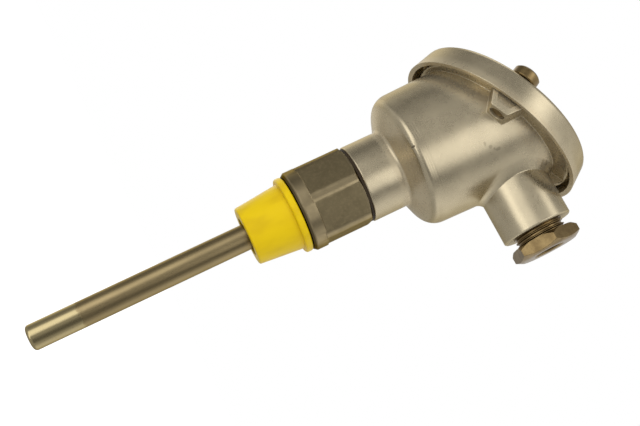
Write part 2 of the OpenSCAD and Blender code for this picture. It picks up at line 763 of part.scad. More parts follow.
protection_tube();
tip_plug();
process_fitting();
neck_seal();
thread_cap();
head_housing();
cover();
cover_gasket();
cover_screw(-1);  // cover_screw_front
cover_screw(1);  // cover_screw_back
gland_screw();
gland_washer();
gland_seal();
insert_sheath();
insulation_fill();
sensor_element();
conductors();
insert_flange();
terminal_block();
terminal_clamp(1);  // terminal_clamp_1
terminal_clamp(2);  // terminal_clamp_2
terminal_clamp(3);  // terminal_clamp_3
terminal_clamp(4);  // terminal_clamp_4
terminal_screw(1);  // terminal_screw_1
terminal_screw(2);  // terminal_screw_2
terminal_screw(3);  // terminal_screw_3
terminal_screw(4);  // terminal_screw_4
lead_wire(1);  // lead_wire_1
lead_wire(2);  // lead_wire_2
lead_wire(3);  // lead_wire_3
lead_wire(4);  // lead_wire_4
insert_screw(-1);  // insert_screw_1
insert_screw(1);  // insert_screw_2
insert_spring(-1);  // insert_spring_1
insert_spring(1);  // insert_spring_2
earth_screw();
earth_washer();
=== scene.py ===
"""Finishes, threads and studio for a resistance thermometer with a connection head."""
import json
import math

import bmesh
import bpy
from bpy.props import FloatProperty, FloatVectorProperty, PointerProperty
from mathutils import Matrix, Vector

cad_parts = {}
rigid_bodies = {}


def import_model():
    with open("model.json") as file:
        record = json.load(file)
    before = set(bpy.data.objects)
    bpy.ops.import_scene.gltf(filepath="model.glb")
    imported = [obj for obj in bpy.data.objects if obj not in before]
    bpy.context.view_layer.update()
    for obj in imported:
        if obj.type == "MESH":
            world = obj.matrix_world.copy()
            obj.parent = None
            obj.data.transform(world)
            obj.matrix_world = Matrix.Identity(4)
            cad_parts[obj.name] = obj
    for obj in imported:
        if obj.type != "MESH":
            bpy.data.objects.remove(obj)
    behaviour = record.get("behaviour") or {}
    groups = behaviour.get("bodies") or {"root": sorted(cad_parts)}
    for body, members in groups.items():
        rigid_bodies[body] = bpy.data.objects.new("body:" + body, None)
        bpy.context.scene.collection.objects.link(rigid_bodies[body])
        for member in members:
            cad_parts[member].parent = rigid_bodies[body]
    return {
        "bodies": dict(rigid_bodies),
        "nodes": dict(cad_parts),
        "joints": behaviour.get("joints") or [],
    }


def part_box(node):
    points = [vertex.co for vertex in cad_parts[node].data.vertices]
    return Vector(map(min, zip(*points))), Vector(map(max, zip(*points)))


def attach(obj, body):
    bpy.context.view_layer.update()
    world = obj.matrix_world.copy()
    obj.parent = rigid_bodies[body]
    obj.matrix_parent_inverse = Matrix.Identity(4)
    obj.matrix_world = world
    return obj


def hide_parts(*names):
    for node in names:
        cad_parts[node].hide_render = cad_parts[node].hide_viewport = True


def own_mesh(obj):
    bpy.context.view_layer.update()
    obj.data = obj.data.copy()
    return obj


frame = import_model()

# Only the frame stays: the start-up file's own cube, lamp and camera go
for stray in list(bpy.data.objects):
    if stray.name not in frame["nodes"] and stray not in frame["bodies"].values():
        bpy.data.objects.remove(stray)
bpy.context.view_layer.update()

bl_info = {
    "name": "Connection Head Thermometer",
    "version": (1, 0, 0),
    "blender": (4, 5, 0),
    "location": "3D View > Sidebar > Thermometer",
    "description": "Finishes, threads and studio for a thermometer with a connection head",
    "category": "Object",
}

MM = 0.001


# ---------------------------------------------------------------- places taken from the frame

def joint(name):
    """A joint of the frame, by its name."""
    return next(row for row in frame["joints"] if row["name"] == name)


TIP_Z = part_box("tip_plug")[0].z
FITTING_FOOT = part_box("process_fitting")[0].z
GLAND_LOW, GLAND_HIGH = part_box("gland_screw")
ENTRY_Z = ((GLAND_LOW + GLAND_HIGH) / 2).z
INSERT_TRAVEL = joint("insert_travel")["range_m"][1]
# The cover's axis, and the places on it that are level with the cover's top and with its rim
LID_AXIS = Vector(joint("lid_lift")["axis"]).normalized()
SCREW_PLACE = joint("lid_screw_front_turn")["pos_m"]
LID_TOP = Vector((SCREW_PLACE[0], 0, SCREW_PLACE[2]))
COVER_HEIGHT = 10.4 * MM
RIM = LID_TOP - LID_AXIS * COVER_HEIGHT
# The floor lies a little below the lowest place that the thread cap slides to
FLOOR_GAP = 4 * MM
FLOOR_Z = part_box("thread_cap")[0].z - joint("cap_slide")["range_m"][1] - FLOOR_GAP


# ---------------------------------------------------------------- shader maths

class Signal:
    """A value on a node socket. Arithmetic on it adds Math nodes."""

    def __init__(self, board, socket):
        self.board = board
        self.socket = socket

    def out(self, name):
        """Another output of the same node."""
        return Signal(self.board, self.socket.node.outputs[name])

    def math(self, operation, *others, flip=False, clamp=False):
        """A Math node on this value and others, with this one last if flipped."""
        terms = [self, *others]
        if flip:
            terms.reverse()
        return self.board.add(
            "ShaderNodeMath", {"operation": operation, "use_clamp": clamp}, dict(enumerate(terms)))

    def __add__(self, other):
        return self.math("ADD", other)

    __radd__ = __add__

    def __sub__(self, other):
        return self.math("SUBTRACT", other)

    def __rsub__(self, other):
        return self.math("SUBTRACT", other, flip=True)

    def __mul__(self, other):
        return self.math("MULTIPLY", other)

    __rmul__ = __mul__

    def __truediv__(self, other):
        return self.math("DIVIDE", other)

    def __rtruediv__(self, other):
        return self.math("DIVIDE", other, flip=True)

    def __pow__(self, other):
        return self.math("POWER", other)

    def clipped(self):
        """The value kept between 0 and 1."""
        return self.math("ADD", 0.0, clamp=True)

    def rise(self, low, high):
        """0 at low, 1 at high, with a smooth step between them."""
        return self.board.add(
            "ShaderNodeMapRange", {"interpolation_type": "SMOOTHSTEP"},
            {"Value": self, "From Min": low, "From Max": high, "To Min": 0.0, "To Max": 1.0})

    def band(self, low, high, soft):
        """1 between low and high, fading to 0 over soft on both sides."""
        return self.rise(low - soft, low) * (1 - self.rise(high, high + soft))


class Board:
    """The node tree of a material or of the world."""

    def __init__(self, tree):
        self.tree = tree
        tree.nodes.clear()

    def add(self, kind, settings=None, sockets=None, output=None):
        """Adds a node: its settings first, then the values or links of its sockets."""
        node = self.tree.nodes.new(kind)
        for name, value in (settings or {}).items():
            setattr(node, name, value)
        for name, value in (sockets or {}).items():
            if isinstance(name, int):
                socket = node.inputs[name]
            else:
                socket = next(s for s in node.inputs if name in (s.identifier, s.name))
            if isinstance(value, Signal):
                self.tree.links.new(value.socket, socket)
            else:
                socket.default_value = value
        shown = [s for s in node.outputs if s.enabled]
        if output:
            return Signal(self, node.outputs[output])
        return Signal(self, shown[0]) if shown else node

    def point(self):
        """The place on the object, in metres."""
        return self.add("ShaderNodeTexCoord", output="Object")

    def axes(self):
        """The three coordinates of the place on the object."""
        split = self.add("ShaderNodeSeparateXYZ", {}, {"Vector": self.point()})
        return split.out("X"), split.out("Y"), split.out("Z")

    def vector(self, operation, *terms, output=None):
        """A Vector Math node on the terms."""
        return self.add(
            "ShaderNodeVectorMath", {"operation": operation}, dict(enumerate(terms)), output)

    def noise(self, size, detail=2.0, roughness=0.5, stretch=(1, 1, 1), seed=0.0):
        """Soft noise from 0 to 1 with features of the given size, stretched along the axes."""
        place = self.add(
            "ShaderNodeMapping", {"vector_type": "POINT"},
            {"Vector": self.point(), "Location": (seed, seed * 0.7, -seed),
             "Scale": tuple(1 / s for s in stretch)})
        return self.add(
            "ShaderNodeTexNoise", {"noise_dimensions": "3D"},
            {"Vector": place, "Scale": 1 / size, "Detail": detail, "Roughness": roughness})

    def blend(self, mask, first, second):
        """Colour that goes from first to second as the mask goes from 0 to 1."""
        return self.add(
            "ShaderNodeMix", {"data_type": "RGBA"},
            {"Factor_Float": mask, "A_Color": rgba(first), "B_Color": rgba(second)})

    def spot(self, place, radii, ragged, size=1.2 * MM):
        """1 inside a ragged patch. Its place and radii are in millimetres, its noise in metres."""
        away = self.vector("SUBTRACT", self.point(), tuple(c * MM for c in place))
        scaled = self.vector("MULTIPLY", away, tuple(1 / (r * MM) for r in radii))
        reach = self.vector("LENGTH", scaled, output="Value")
        wobble = self.noise(size) * (2 * ragged) - ragged
        return 1 - (reach + wobble).rise(0.6, 1.0)

    def edges(self, radius):
        """Normal with softened edges, and a mask that is 1 on the edges."""
        soft = self.add("ShaderNodeBevel", {"samples": 6}, {"Radius": radius})
        flat = self.add("ShaderNodeNewGeometry", output="Normal")
        bend = 1 - self.vector("DOT_PRODUCT", soft, flat, output="Value")
        return soft, bend.rise(0.004, 0.12)

    def bump(self, height, depth, normal=None):
        """Normal with a relief of the given depth in metres, on top of another normal."""
        sockets = {"Height": height, "Distance": depth}
        if normal is not None:
            sockets["Normal"] = normal
        return self.add("ShaderNodeBump", {}, sockets)

    def surface(self, colour, roughness, normal, **constants):
        """Principled surface with the varying inputs and the constants of a finish."""
        sockets = {"Base Color": colour, "Roughness": roughness, "Normal": normal}
        sockets.update({name.replace("_", " "): value for name, value in constants.items()})
        shader = self.add("ShaderNodeBsdfPrincipled", {}, sockets)
        self.add("ShaderNodeOutputMaterial", {}, {"Surface": shader})

    def background_rays(self):
        """1 for the rays that show the background: the camera's, and those off gloss and glass."""
        path = self.add("ShaderNodeLightPath")
        seen = path.out("Is Camera Ray") + path.out("Is Glossy Ray")
        return (seen + path.out("Is Transmission Ray")).clipped()


def rgba(colour):
    """A colour in the form that a socket takes."""
    return colour if isinstance(colour, Signal) else (*colour, 1.0)


def toned(colour, share):
    """A colour made lighter or darker in one proportion."""
    return tuple(share * c for c in colour)


def from_axis(x, y):
    """Distance from the Z axis."""
    return (x * x + y * y) ** 0.5


def new_board(name):
    """A fresh material and the board that its nodes go on."""
    material = bpy.data.materials.new(name)
    material.use_nodes = True
    return material, Board(material.node_tree)


def wear(material, *names):
    """Gives nodes of the frame one material."""
    for name in names:
        materials = frame["nodes"][name].data.materials
        materials.clear()
        materials.append(material)


def numbered(name, count):
    """The names of like nodes, which end in _1 and up."""
    return [f"{name}_{i}" for i in range(1, count + 1)]


# ---------------------------------------------------------------- settings

def colour_of(name, default, about):
    return FloatVectorProperty(
        name=name, description=about, subtype="COLOR", size=3, min=0.0, max=1.0, default=default)


def length_of(name, default, about):
    return FloatProperty(
        name=name, description=about, unit="LENGTH", subtype="DISTANCE", min=0.0, default=default,
        precision=5)


def share_of(name, default, about):
    return FloatProperty(
        name=name, description=about, subtype="FACTOR", min=0.0, max=1.0, default=default)


def level_of(name, default, about, unit="NONE"):
    return FloatProperty(name=name, description=about, unit=unit, min=0.0, default=default)


class CastingLook(bpy.types.PropertyGroup):
    """Bead-blasted die casting of the housing and the cover"""
    light: colour_of("Light", (0.54, 0.465, 0.32), "Clean metal")
    dark: colour_of("Dark", (0.45, 0.385, 0.265), "Duller patches")
    # Colour of the painted shade in the inner corners
    corner_shade: colour_of("Shading", (0.50, 0.39, 0.245), "Warm tint in the inner corners")
    mark: colour_of("Mark", (0.07, 0.052, 0.032), "Pits and scuffs")
    grazing: colour_of("Grazing", (0.62, 0.55, 0.40), "Tint of the metal at a grazing angle")
    roughness: share_of("Roughness", 0.28, "Roughness of the blasted skin")
    crest: length_of("Crest", 3.2 * MM, "Softness of the shoulder's corner")
    grain: length_of("Grain", 0.45 * MM, "Size of the blasted grain")
    edge: length_of("Edge", 0.45 * MM, "Radius that the edges are worn to")


class FittingLook(bpy.types.PropertyGroup):
    """Turned and milled process fitting"""
    flat: colour_of("Flats", (0.255, 0.205, 0.115), "Brushed wrench flats")
    turned: colour_of("Turned", (0.33, 0.265, 0.155), "Turned collar and corners")
    # Colour of the painted shade in the gap at the collar's chamfer
    shade: colour_of("Shade", (0.06, 0.045, 0.02), "Dark residue on the collar's chamfer")
    grazing: colour_of("Grazing", (0.45, 0.38, 0.24), "Tint of the metal at a grazing angle")
    shade_length: length_of("Residue length", 0.6 * MM, "Length of the dark residue")
    flat_roughness: share_of("Flat roughness", 0.42, "Roughness of the flats")
    turned_roughness: share_of("Turned roughness", 0.33, "Roughness of the turned faces")
    edge: length_of("Edge", 0.2 * MM, "Radius of the broken edges")


class TubeLook(bpy.types.PropertyGroup):
    """Drawn stainless tube, polished near the tip"""
    drawn: colour_of("Drawn", (0.305, 0.236, 0.123), "Drawn and heat-toned length")
    polished: colour_of("Polished", (0.40, 0.328, 0.178), "Polished length at the tip")
    polish_length: length_of("Polished length", 20 * MM, "Length of the polished end")
    grazing: colour_of("Grazing", (0.64, 0.56, 0.40), "Tint of the metal at a grazing angle")
    roughness: share_of("Roughness", 0.27, "Roughness of the drawn length")


class CapLook(bpy.types.PropertyGroup):
    """Moulded thread cap"""
    colour: colour_of("Colour", (0.80, 0.56, 0.002), "Moulded colour")
    deep: colour_of("Deep", (0.70, 0.47, 0.002), "Slightly deeper flow patches")
    roughness: share_of("Roughness", 0.36, "Roughness of the moulded skin")
    edge: length_of("Edge", 0.3 * MM, "Radius of the edges")


class BrassLook(bpy.types.PropertyGroup):
    """Turned brass of the gland, the screws and the clamps"""
    clean: colour_of("Clean", (0.27, 0.192, 0.088), "Freshly turned brass")
    tarnish: colour_of("Tarnish", (0.16, 0.108, 0.048), "Tarnished brass")
    roughness: share_of("Roughness", 0.3, "Roughness of the turned faces")
    edge: length_of("Edge", 0.2 * MM, "Radius of the edges")


class InsertLook(bpy.types.PropertyGroup):
    """Plate, ceramic, springs, wires and seals inside the head"""
    plated: colour_of("Plated", (0.72, 0.71, 0.69), "Nickel-plated steel")
    ceramic: colour_of("Ceramic", (0.80, 0.76, 0.67), "Glazed steatite")
    fleck: colour_of("Flecks", (0.42, 0.36, 0.28), "Iron flecks in the glaze")
    sleeve: colour_of("Sleeve", (0.78, 0.74, 0.64), "Woven glass sleeve")
    rubber: colour_of("Rubber", (0.022, 0.021, 0.02), "Rubber seal and gasket")
    rubber_dust: colour_of("Rubber dust", (0.09, 0.085, 0.075), "Dust on the rubber")
    fibre: colour_of("Fibre", (0.035, 0.023, 0.012), "Fibre seal under the neck")
    fibre_dust: colour_of("Fibre dust", (0.07, 0.048, 0.024), "Dust on the fibre")
    edge: length_of("Edge", 0.2 * MM, "Radius of the edges")


class ThreadSizes(bpy.types.PropertyGroup):
    """Threads that the frame holds as plain cylinders"""
    process_pitch: length_of("Process pitch", 1.814 * MM, "Pitch of the process thread")
    process_depth: length_of("Process depth", 1.1 * MM, "Depth of the process thread")
    gland_pitch: length_of("Gland pitch", 1.5 * MM, "Pitch of the pressure screw's thread")
    gland_depth: length_of("Gland depth", 0.8 * MM, "Depth of the pressure screw's thread")


class StudioLook(bpy.types.PropertyGroup):
    """Floor, lamp, tent and surroundings"""
    sky: level_of("Surroundings", 0.78, "Light from all round")
    key: level_of("Key lamp", 4.5, "Power of the large soft lamp", "POWER")
    key_bearing: FloatProperty(
        name="Key bearing", description="Direction of the key lamp from +X", unit="ROTATION",
        default=math.radians(-100))
    tent: level_of("Tent", 0.54, "Level of the grey tent")
    panel: level_of("Panels", 1.0, "Strength of the tent's panels")
    floor: colour_of("Floor", (0.8, 0.8, 0.8), "Pale floor")
    lens: FloatProperty(
        name="Lens", description="Focal length", unit="CAMERA", default=57.288, min=1)


class ThermometerSettings(bpy.types.PropertyGroup):
    """All settings of the thermometer"""
    casting: PointerProperty(type=CastingLook)
    fitting: PointerProperty(type=FittingLook)
    tube: PointerProperty(type=TubeLook)
    cap: PointerProperty(type=CapLook)
    brass: PointerProperty(type=BrassLook)
    insert: PointerProperty(type=InsertLook)
    threads: PointerProperty(type=ThreadSizes)
    studio: PointerProperty(type=StudioLook)


# ---------------------------------------------------------------- modelling

UP = Vector((0, 0, 1))
OUT = Vector((1, 0, 0))
# A vertex this near a surface lies on it, and vertices this near each other are one
TOUCH = 0.01 * MM
SAME = 0.001 * MM
# Crest radii of the two threads, and a radius between the threads and the bores inside them
PROCESS_CREST = 10.4775 * MM
GLAND_CREST = 9.85 * MM
BORE_LIMIT = 8 * MM
# Thickness of the pressure screw's hexagon
GLAND_HEXAGON = 5.3 * MM
# A thread's ridge: half its foot and half its crest in pitches, and how deep its foot is sunk
RIDGE_FOOT = 0.36
RIDGE_CREST = 0.08
RIDGE_SUNK = 0.06 * MM
# Where the ridge starts and how much shorter than the thread it is, in pitches
RIDGE_START = 0.4
RIDGE_SHORT = 0.45
RIDGE_STEPS = 36
# Bare metal at the thread's start, and at its start and end together
PROCESS_BARE = (0.4 * MM, 1.2 * MM)
GLAND_BARE = (0.3 * MM, 0.4 * MM)
# Braze between tube and fitting: radius and height over the fitting's foot, in millimetres
BRAZE = ((4.9, 0.3), (6.3, 0.1), (6.0, -0.35), (5.4, -1.0), (5.1, -1.7), (4.9, -1.9))


def put(bm, name, body, material, angle=32):
    """Makes an object of a bmesh, shaded smooth up to an angle, riding on a body."""
    bmesh.ops.recalc_face_normals(bm, faces=bm.faces)
    mesh = bpy.data.meshes.new(name)
    bm.to_mesh(mesh)
    bm.free()
    if "custom_normal" in mesh.attributes:
        mesh.attributes.remove(mesh.attributes["custom_normal"])
    mesh.shade_smooth()
    mesh.set_sharp_from_angle(angle=math.radians(angle))
    mesh.materials.append(material)
    piece = bpy.data.objects.new(name, mesh)
    bpy.context.scene.collection.objects.link(piece)
    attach(piece, body)
    return piece


def merged_copy(node):
    """Copy of a node's mesh, with its loose triangles joined."""
    bm = bmesh.new()
    bm.from_mesh(frame["nodes"][node].data)
    bmesh.ops.remove_doubles(bm, verts=bm.verts, dist=SAME)
    return bm


def turned_copy(node, inside, centre_of, shrink):
    """Merged copy of a node whose vertices where inside(point) holds are drawn towards an axis."""
    bm = merged_copy(node)
    for vert in bm.verts:
        if inside(vert.co):
            centre = centre_of(vert.co)
            vert.co = centre + (vert.co - centre) * shrink
    return bm


def closed_loop(bm, places):
    """Vertices at the places and the edges that join them in a ring."""
    corners = [bm.verts.new(place) for place in places]
    return corners + [bm.edges.new(pair) for pair in zip(corners, corners[1:] + corners[:1])]


def thread_ridge(start, axis, side, crest, depth, pitch, length):
    """Helical ridge of a thread: a trapezoid spun round the axis as it climbs."""
    foot = -depth - RIDGE_SUNK
    profile = ((-RIDGE_FOOT, foot), (-RIDGE_CREST, 0.0), (RIDGE_CREST, 0.0), (RIDGE_FOOT, foot))
    centre = start + axis * pitch * RIDGE_START
    steps = int((length / pitch - RIDGE_SHORT) * RIDGE_STEPS)
    bm = bmesh.new()
    loop = closed_loop(
        bm, [centre + side * (crest + rise) + axis * (along * pitch) for along, rise in profile])
    bmesh.ops.spin(
        bm, geom=loop, cent=start, axis=axis, dvec=axis * (pitch / RIDGE_STEPS),
        angle=2 * math.pi * steps / RIDGE_STEPS, steps=steps, use_merge=False)
    bmesh.ops.holes_fill(bm, edges=[e for e in bm.edges if e.is_boundary], sides=4)
    return bm


# ---------------------------------------------------------------- finishes

# Faint handling marks on the head and the pit on its shoulder: place and radii in millimetres
SCUFFS = (
    ((12.3, -24.5, 69.4), (0.9, 1.0, 0.6)),
    ((13.9, -23.6, 70.9), (0.8, 1.0, 0.9)),
    ((15.6, -22.7, 73.4), (0.7, 1.0, 1.2)),
    ((15.0, -23.0, 72.2), (0.5, 1.0, 0.5)),
)
PIT = ((2.0, -25.1, 45.2), (0.5, 1.2, 1.0))
# Where the inner corners get painted shade, a darker and warmer colour, and where they are dull:
# bottom, top and softness. Those under the flange are measured along the cover's axis from its
# rim, those over the neck in height
FLANGE_SHADE = (-2.6 * MM, 1.0 * MM, 1.6 * MM)
FLANGE_DULL = (-5 * MM, 0.5 * MM, 4 * MM)
NECK_SHADE = (39 * MM, 43 * MM, 2.5 * MM)
NECK_DULL = (38 * MM, 43.5 * MM, 1.5 * MM)
# Fillet of the shoulder: radius and height of its arc's centre, its own radius, and the two ends
SHOULDER_ARC = (19.753 * MM, 49.566 * MM, 7.0 * MM, math.radians(1.7), math.radians(67.6))
# Wrench flats: bottom, top and softness in height, and the radii where the corners take over
FLATS = (6.2 * MM, 23.4 * MM, 0.4 * MM)
CORNERS = (16.0 * MM, 16.2 * MM)
# Softness of the painted shade's line on the collar's chamfer, on both sides
SHADE_SOFT = 0.3 * MM
# Raggedness and softness of the line where the tube's polish ends
POLISH_RAGGED = 3 * MM
POLISH_SOFT = 0.4 * MM
# Width of one strand in the wires' sleeves
STRAND = 0.45 * MM


def shoulder_crest(x, y, z, softness):
    """Height that makes the shoulder's wide fillet read as a crisper corner."""
    arc_radius, arc_z, size, start, end = SHOULDER_ARC
    out = from_axis(x, y) - arc_radius
    turn = (arc_z - z).math("ARCTAN2", out).math("MAXIMUM", start).math("MINIMUM", end)
    wall = size / (turn - start).math("COSINE")
    face = size / (end - turn).math("COSINE")
    return wall.math("SMOOTH_MIN", face, softness) - size


def casting_finish(look):
    """Blasted casting: painted shade in the inner corners, worn edges with a painted highlight, a
    pit and scuffs.
    """
    material, b = new_board("cast_aluminium")
    x, y, z = b.axes()
    soft, worn_and_highlit = b.edges(look.edge)
    above_rim = b.vector("SUBTRACT", b.point(), tuple(RIM))
    height = b.vector("DOT_PRODUCT", above_rim, tuple(LID_AXIS), output="Value")
    patches = b.noise(9 * MM, 3.0, 0.55)
    fine = b.noise(look.grain * 3.2, 3.0, 0.6, seed=0.3)
    grain = b.noise(look.grain, 2.0, 0.6, seed=0.1)
    broad = b.noise(17 * MM, 1.0, seed=0.6)
    tint = b.noise(8 * MM, 3.0, 0.6, seed=0.8).rise(0.35, 0.75)
    # Painted shade: mask of the inner corners under the flange and at the neck
    corner_shade = (height.band(*FLANGE_SHADE) + z.band(*NECK_SHADE)).clipped()
    dull = (height.band(*FLANGE_DULL) + z.band(*NECK_DULL)).clipped()
    pit = b.spot(*PIT, 0.4)
    scuffs = sum(b.spot(place, radii, 0.5, 0.8 * MM) for place, radii in SCUFFS)
    dots = b.noise(1.5 * MM, 1.0, seed=1.7).rise(0.785, 0.81)
    colour = b.blend(patches.rise(0.3, 0.7), look.dark, look.light)
    colour = b.blend((fine - 0.5) * 0.5 + 0.2, colour, look.light)
    # Painted shade: a darker, warmer colour laid into the inner corners, patchy with the tint
    # noise
    colour = b.blend(corner_shade * (tint * 0.3 + 0.05), colour, look.corner_shade)
    # Edges lighter: partly wear, partly a painted highlight along the convex edges
    colour = b.blend(worn_and_highlit * 0.8, colour, toned(look.light, 1.3))
    colour = b.blend((pit * 0.85 + scuffs * 0.3 + dots * 0.18).clipped(), colour, look.mark)
    rough = patches * 0.10 + fine * 0.08 + (look.roughness - 0.09) - worn_and_highlit * 0.08
    normal = b.bump(shoulder_crest(x, y, z, look.crest), 1.0, soft)
    normal = b.bump(broad, 0.3 * MM, normal)
    normal = b.bump(fine, 0.010 * MM, normal)
    normal = b.bump(grain - pit * 4 - dots * 0.5, 0.009 * MM, normal)
    metal = (0.9 - dull * 0.3) * (1 - pit)
    b.surface(colour, rough, normal, Metallic=metal, Specular_Tint=rgba(look.grazing))
    return material


def fitting_finish(look):
    """Turned steel with brushed wrench flats and a dark line of painted shade on the collar's
    chamfer.
    """
    material, b = new_board("steel_fitting")
    x, y, z = b.axes()
    soft, worn_and_highlit = b.edges(look.edge)
    flats = z.band(*FLATS) * (1 - from_axis(x, y).rise(*CORNERS))
    rings = b.noise(0.35 * MM, stretch=(90, 90, 1))
    brushed = b.noise(0.22 * MM, stretch=(40, 40, 1), seed=0.4)
    patches = b.noise(5 * MM, 3.0, seed=0.7)
    mottle = b.noise(1.3 * MM, 3.0, 0.65, seed=1.1)
    # Painted shade: a dark band on the collar's chamfer, for the gap under the cap
    shade = z.band(-SHADE_SOFT, look.shade_length, SHADE_SOFT)
    colour = b.blend(flats, look.turned, look.flat)
    colour = b.blend(patches.rise(0.35, 0.7) * 0.35, colour, toned(look.flat, 0.6))
    colour = b.blend(mottle.rise(0.45, 0.7) * flats * 0.4, colour, toned(look.flat, 1.35))
    # Edges lighter: partly wear, partly a painted highlight along the convex edges
    colour = b.blend(worn_and_highlit * 0.9, colour, toned(look.turned, 1.5))
    # Painted shade laid dark on the collar's chamfer
    colour = b.blend(shade * 0.75, colour, look.shade)
    rough = flats * (look.flat_roughness - look.turned_roughness) + look.turned_roughness
    rough = rough + (patches - 0.5) * 0.12 + (mottle - 0.5) * 0.10
    normal = b.bump(flats * brushed + (1 - flats) * rings, 0.012 * MM, soft)
    b.surface(colour, rough, normal, Metallic=1.0, Specular_Tint=rgba(look.grazing))
    return material


def tube_finish(look):
    """Drawn steel with lines along it, and polished rings near the tip."""
    material, b = new_board("stainless_tube")
    z = b.axes()[2]
    ragged = z + (b.noise(2.2 * MM, 3.0, seed=1.3) - 0.5) * POLISH_RAGGED
    polish_top = TIP_Z + look.polish_length
    end = 1 - ragged.rise(polish_top - POLISH_SOFT, polish_top + POLISH_SOFT)
    drawn = b.noise(0.5 * MM, 3.0, 0.6, stretch=(1, 1, 22))
    rings = b.noise(0.4 * MM, stretch=(60, 60, 1), seed=0.2)
    specks = b.noise(0.7 * MM, 2.0, 0.7, seed=0.5)
    cloud = b.noise(11 * MM, 3.0, seed=0.9)
    colour = b.blend(end, look.drawn, look.polished)
    colour = b.blend(cloud.rise(0.35, 0.7) * 0.28 * (1 - end), colour, toned(look.drawn, 0.72))
    colour = b.blend(specks.rise(0.6, 0.75) * 0.35, colour, toned(look.drawn, 0.55))
    rough = (look.roughness - 0.05) + drawn * 0.10 - end * 0.13 + cloud * 0.06
    normal = b.bump((1 - end) * drawn + end * rings, 0.010 * MM)
    normal = b.bump(specks, 0.008 * MM, normal)
    b.surface(colour, rough, normal, Metallic=1.0, Specular_Tint=rgba(look.grazing))
    return material


def cap_finish(look):
    """Moulded plastic with faint flow patches."""
    material, b = new_board("yellow_plastic")
    soft, worn_and_highlit = b.edges(look.edge)
    flow = b.noise(7 * MM, stretch=(1, 1, 2))
    skin = b.noise(0.6 * MM, seed=0.3)
    colour = b.blend(flow.rise(0.35, 0.7), look.colour, look.deep)
    # Edges a little lighter: partly wear, partly a painted highlight
    colour = b.blend(worn_and_highlit * 0.25, colour, toned(look.colour, 1.1))
    rough = look.roughness + (flow - 0.5) * 0.1 + (skin - 0.5) * 0.06
    normal = b.bump(flow, 0.12 * MM, soft)
    normal = b.bump(skin, 0.006 * MM, normal)
    b.surface(colour, rough, normal, Specular_IOR_Level=0.16)
    return material


def brass_finish(look):
    """Turned brass, tarnished in patches and clean on its edges."""
    material, b = new_board("brass")
    soft, worn_and_highlit = b.edges(look.edge)
    patches = b.noise(3.5 * MM, 3.0, 0.6)
    stains = b.noise(1.1 * MM, 3.0, 0.65, seed=0.4)
    turned = b.noise(0.3 * MM, stretch=(1, 14, 14), seed=0.2)
    colour = b.blend(patches.rise(0.3, 0.7) * 0.7, look.clean, look.tarnish)
    colour = b.blend(stains.rise(0.58, 0.72) * 0.5, colour, toned(look.tarnish, 0.6))
    colour = b.blend(worn_and_highlit * 0.7, colour, look.clean)
    rough = (look.roughness - 0.04) + patches * 0.14 - worn_and_highlit * 0.06
    b.surface(colour, rough, b.bump(turned, 0.010 * MM, soft), Metallic=1.0)
    return material


def plated_finish(look):
    """Nickel plating with fine lines round the parts."""
    material, b = new_board("plated_steel")
    soft, worn_and_highlit = b.edges(look.edge)
    patches = b.noise(3 * MM, 3.0)
    lines = b.noise(0.25 * MM, stretch=(12, 12, 1))
    colour = b.blend(patches.rise(0.35, 0.75) * 0.4, look.plated, toned(look.plated, 0.7))
    rough = patches * 0.14 + 0.18 - worn_and_highlit * 0.05
    b.surface(colour, rough, b.bump(lines, 0.006 * MM, soft), Metallic=1.0)
    return material


def ceramic_finish(look):
    """Glazed ceramic with iron flecks."""
    material, b = new_board("glazed_ceramic")
    soft = b.edges(look.edge * 1.6)[0]
    cloud = b.noise(4 * MM)
    fleck = b.noise(0.5 * MM, seed=0.6)
    colour = b.blend(cloud.rise(0.3, 0.7) * 0.5, look.ceramic, toned(look.ceramic, 0.9))
    colour = b.blend(fleck.rise(0.68, 0.74) * 0.5, colour, look.fleck)
    normal = b.bump(cloud, 0.06 * MM, soft)
    b.surface(colour, cloud * 0.12 + 0.2, normal, Coat_Weight=0.4, Coat_Roughness=0.12)
    return material


def seal_finish(name, base, dusty, edge):
    """Rubber or fibre with dust on it."""
    material, b = new_board(name)
    soft = b.edges(edge)[0]
    dust = b.noise(1.5 * MM, 3.0, 0.65)
    colour = b.blend(dust.rise(0.5, 0.8) * 0.4, base, dusty)
    normal = b.bump(dust, 0.02 * MM, soft)
    b.surface(colour, dust * 0.2 + 0.55, normal, Specular_IOR_Level=0.2)
    return material


def sleeve_finish(look):
    """Woven sleeve of the lead wires."""
    material, b = new_board("wire_sleeve")
    x, y, z = b.axes()
    turn = 2 * math.pi / STRAND
    weave = ((x + z) * turn).math("SINE") * ((y - z) * turn).math("SINE") * 0.5 + 0.5
    colour = b.blend(weave * 0.6, look.sleeve, toned(look.sleeve, 0.6))
    b.surface(colour, weave * 0.1 + 0.7, b.bump(weave, 0.04 * MM))
    return material


# ---------------------------------------------------------------- operators

class THERMO_OT_casting(bpy.types.Operator):
    """Blasted cast finish on the housing and the cover"""
    bl_idname = "thermometer.casting"
    bl_label = "Finish the castings"

    def execute(self, context):
        wear(casting_finish(context.scene.thermometer.casting), "head_housing", "cover")
        return {"FINISHED"}


class THERMO_OT_fitting(bpy.types.Operator):
    """Process fitting with its cut thread"""
    bl_idname = "thermometer.fitting"
    bl_label = "Cut and finish the process fitting"

    def execute(self, context):
        settings = context.scene.thermometer
        sizes = settings.threads
        steel = fitting_finish(settings.fitting)
        wear(steel, "process_fitting")
        root = PROCESS_CREST - sizes.process_depth
        bm = turned_copy(
            "process_fitting",
            lambda p: p.z < TOUCH and BORE_LIMIT < p.xy.length < PROCESS_CREST + TOUCH,
            lambda p: Vector((0, 0, p.z)), root / PROCESS_CREST)
        body = put(bm, "process_fitting_cut", "housing", steel)
        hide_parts("process_fitting")
        bare, both = PROCESS_BARE
        ridge = thread_ridge(
            Vector((0, 0, FITTING_FOOT + bare)), UP, OUT, PROCESS_CREST, sizes.process_depth,
            sizes.process_pitch, -FITTING_FOOT - both)
        put(ridge, "process_thread_ridge", "housing", steel, angle=50)
        return {"FINISHED"}


